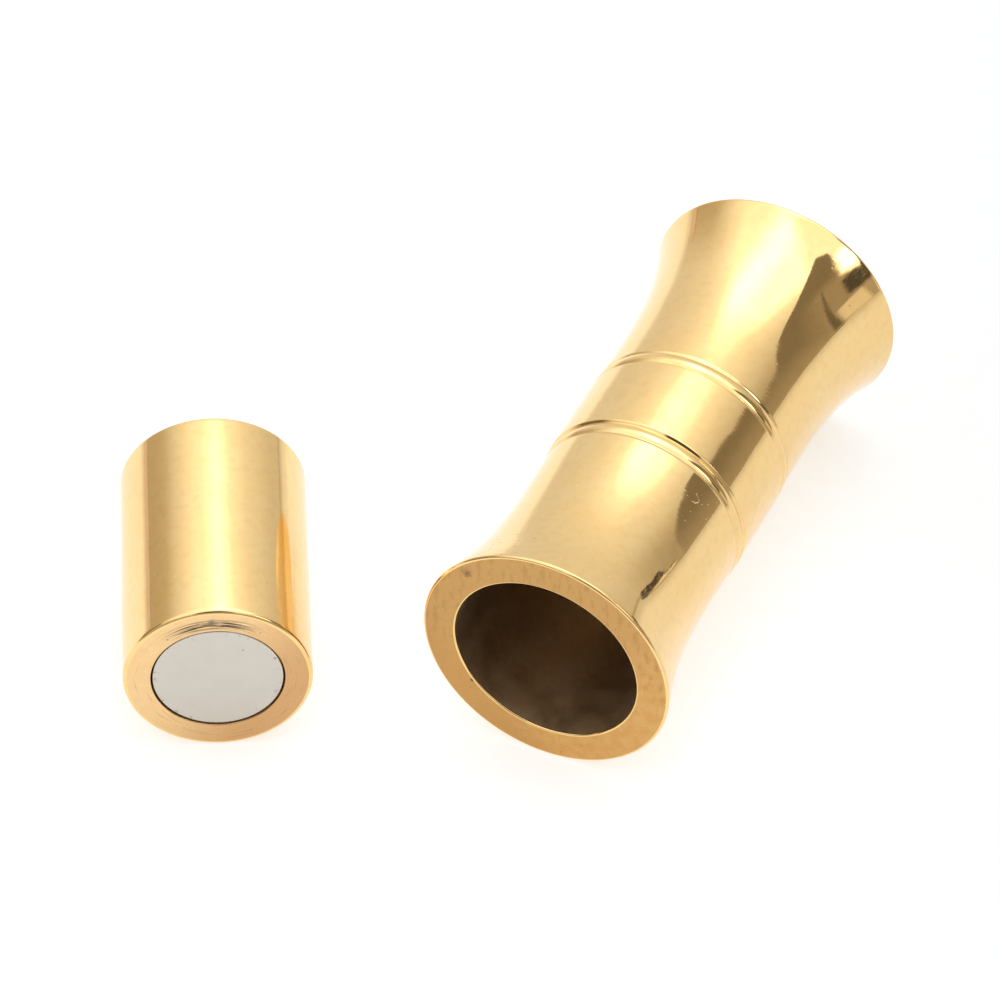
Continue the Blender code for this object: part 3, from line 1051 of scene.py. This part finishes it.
def paint_panels(studio):
    """The dark opening and the board, corner and lamp at its right, and a dark panel at the far left."""
    zenith, azimuth = studio.zenith, studio.azimuth
    opening = studio.panel(OPENING, softness=0.3)
    paler = azimuth.fade(*PALER_ACROSS) * zenith.fade(*PALER_DOWN)
    paler = paler.maths("MAXIMUM", zenith.fade(*PALER_LOWEST))
    studio.cover(opening, mix_colours(studio.tree, paler, OPENING_DARK, OPENING_PALER))
    studio.cover(studio.panel(BOARD, softness=1.0), BOARD_COLOUR)
    studio.cover(studio.panel(BOARD_EDGE, softness=0.4), BOARD_EDGE_COLOUR)
    corner = studio.panel(DARK_CORNER, softness=1.2, direction=studio.uneven)
    studio.cover(corner * studio.speckle.fade(*CORNER_SPECKLE), DARK_CORNER_COLOUR)
    studio.cover(studio.panel(LAMP, softness=3.0, direction=studio.uneven), LAMP_COLOUR)
    studio.cover(studio.panel(FAR_LEFT, softness=1.5), FAR_LEFT_COLOUR)


def paint_wall_foot(studio):
    """A ragged dark gap to the right, a thin tan line along the table's edge, and a strip to the left."""
    zenith, azimuth = studio.zenith, studio.azimuth
    slant = (GAP_SLANT_START - azimuth).maths("MAXIMUM", 0.0) * GAP_SLANT
    foot = zenith - slant + (studio.ragged - 0.5) * GAP_RAGGEDNESS + (studio.speckle - 0.5) * GAP_GRAIN
    span = azimuth.fade(*GAP_LEFT_END) * azimuth.fade(*GAP_RIGHT_END)
    top = azimuth.fade(*GAP_TOP)
    gap = foot.fade(top, top + GAP_SOFTNESS) * foot.fade(*GAP_FOOT)
    studio.cover(gap * studio.speckle.fade(*GAP_SPECKLE) * span, GAP_COLOUR)
    studio.cover(foot.fade(*GAP_LINE_TOP) * zenith.fade(*GAP_LINE_FOOT) * span, GAP_LINE_COLOUR)
    line = zenith.fade(*TABLE_LINE_TOP) * zenith.fade(*TABLE_LINE_FOOT)
    line = line * azimuth.fade(*TABLE_LINE_LEFT_END) * azimuth.fade(*TABLE_LINE_RIGHT_END)
    studio.cover(line * (1.0 - span * TABLE_LINE_BROKEN), TABLE_LINE_COLOUR, strength=0.75)
    strip_span = azimuth.fade(*STRIP_RIGHT_END) * azimuth.fade(*STRIP_LEFT_END)
    studio.cover(zenith.fade(*STRIP_TOP) * strip_span, STRIP_COLOUR)
    edge = zenith.fade(*STRIP_EDGE_TOP) * zenith.fade(*STRIP_EDGE_FOOT) * strip_span
    studio.cover(edge, STRIP_EDGE_COLOUR, strength=0.7)


def add_studio():
    studio = Studio()
    paint_room(studio)
    paint_panels(studio)
    paint_wall_foot(studio)
    lens = studio.vector_maths("DOT_PRODUCT", studio.direction, toward(*LENS_PLACE))
    lens = Number(studio.tree, lens.outputs["Value"])
    edge, core = (math.cos(math.radians(angle)) for angle in (LENS_EDGE, LENS_CORE))
    studio.cover(lens.fade(edge, core), LENS_COLOUR)
    studio.cover(studio.zenith.fade(*BELOW_DOWN), BELOW_COLOUR)
    studio.finish()


def add_camera():
    camera = bpy.data.objects.new("view", bpy.data.cameras.new("view"))
    bpy.context.scene.collection.objects.link(camera)
    level = math.cos(VIEW_ELEVATION)
    away = Vector((
        math.sin(VIEW_AZIMUTH) * level,
        -math.cos(VIEW_AZIMUTH) * level,
        math.sin(VIEW_ELEVATION),
    ))
    camera.location = VIEW_TARGET + away * VIEW_DISTANCE
    camera.rotation_euler = (QUARTER - VIEW_ELEVATION, 0.0, VIEW_AZIMUTH)
    camera.data.sensor_width = SENSOR
    camera.data.lens = VIEW_LENS
    camera.data.clip_start = VIEW_CLIP
    bpy.context.scene.camera = camera
    bpy.context.scene.view_settings.view_transform = "Standard"


# Clasp

def half_place(centre, turn):
    """Takes points in a half's own frame to their place in the model."""
    return Matrix.Translation(centre) @ Euler((-QUARTER, 0.0, turn)).to_matrix().to_4x4()


def fit_piece(piece, node):
    """The piece takes the node's place."""
    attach(piece, "root")
    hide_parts(node)


def socket_place():
    low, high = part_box("socket_shell")
    mouth = Vector(((low.x + high.x) / 2, low.y, (low.z + high.z) / 2))
    return half_place(mouth, 0.0)


def plug_place():
    low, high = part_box("plug_sleeve")
    back = Vector((-math.sin(PLUG_TURN), math.cos(PLUG_TURN), 0.0))
    return half_place((low + high) / 2 - back * (PLUG_LENGTH / 2), PLUG_TURN)


def add_shell(band, place):
    low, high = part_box("socket_shell")
    shell = socket_shell(band, place, high.y - low.y, (high.z - low.z) / 2, {
        POLISHED: polished_gold("socket polished gold", place, SOCKET_POLISH,
                                curl=CURL_PLACE, dashes=DASHES_PLACE),
        SATIN: mouth_satin(place),
        HOLE: hole_gold_with_painted_shade("socket hole gold with painted shade", place, SOCKET_HOLE_GOLD),
    })
    fit_piece(shell, "socket_shell")


def add_sleeve(band, place):
    low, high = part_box("plug_sleeve")
    sleeve = plug_sleeve(band, place, (high.z - low.z) / 2, {
        POLISHED: polished_gold("plug polished gold", place, PLUG_POLISH, lean=PLUG_LEAN),
        SATIN: plug_satin(place),
        HOLE: hole_gold_with_painted_shade("plug hole gold with painted shade", place, PLUG_HOLE_GOLD),
    })
    fit_piece(sleeve, "plug_sleeve")


def add_magnets(band, socket, plug):
    nickel = bright_nickel("socket magnet nickel", socket)
    disc = magnet("socket_magnet_disc", band, socket, PLUG_HOLE_DEPTH, nickel)
    fit_piece(disc, "socket_magnet")
    nickel = bright_nickel("plug magnet nickel", plug)
    disc = magnet("plug_magnet_disc", band, plug, 0.0, nickel)
    fit_piece(disc, "plug_magnet")


def add_clasp():
    band = band_group()
    socket = socket_place()
    plug = plug_place()
    add_shell(band, socket)
    add_sleeve(band, plug)
    add_magnets(band, socket, plug)


add_camera()
add_clasp()
add_table()
add_studio()
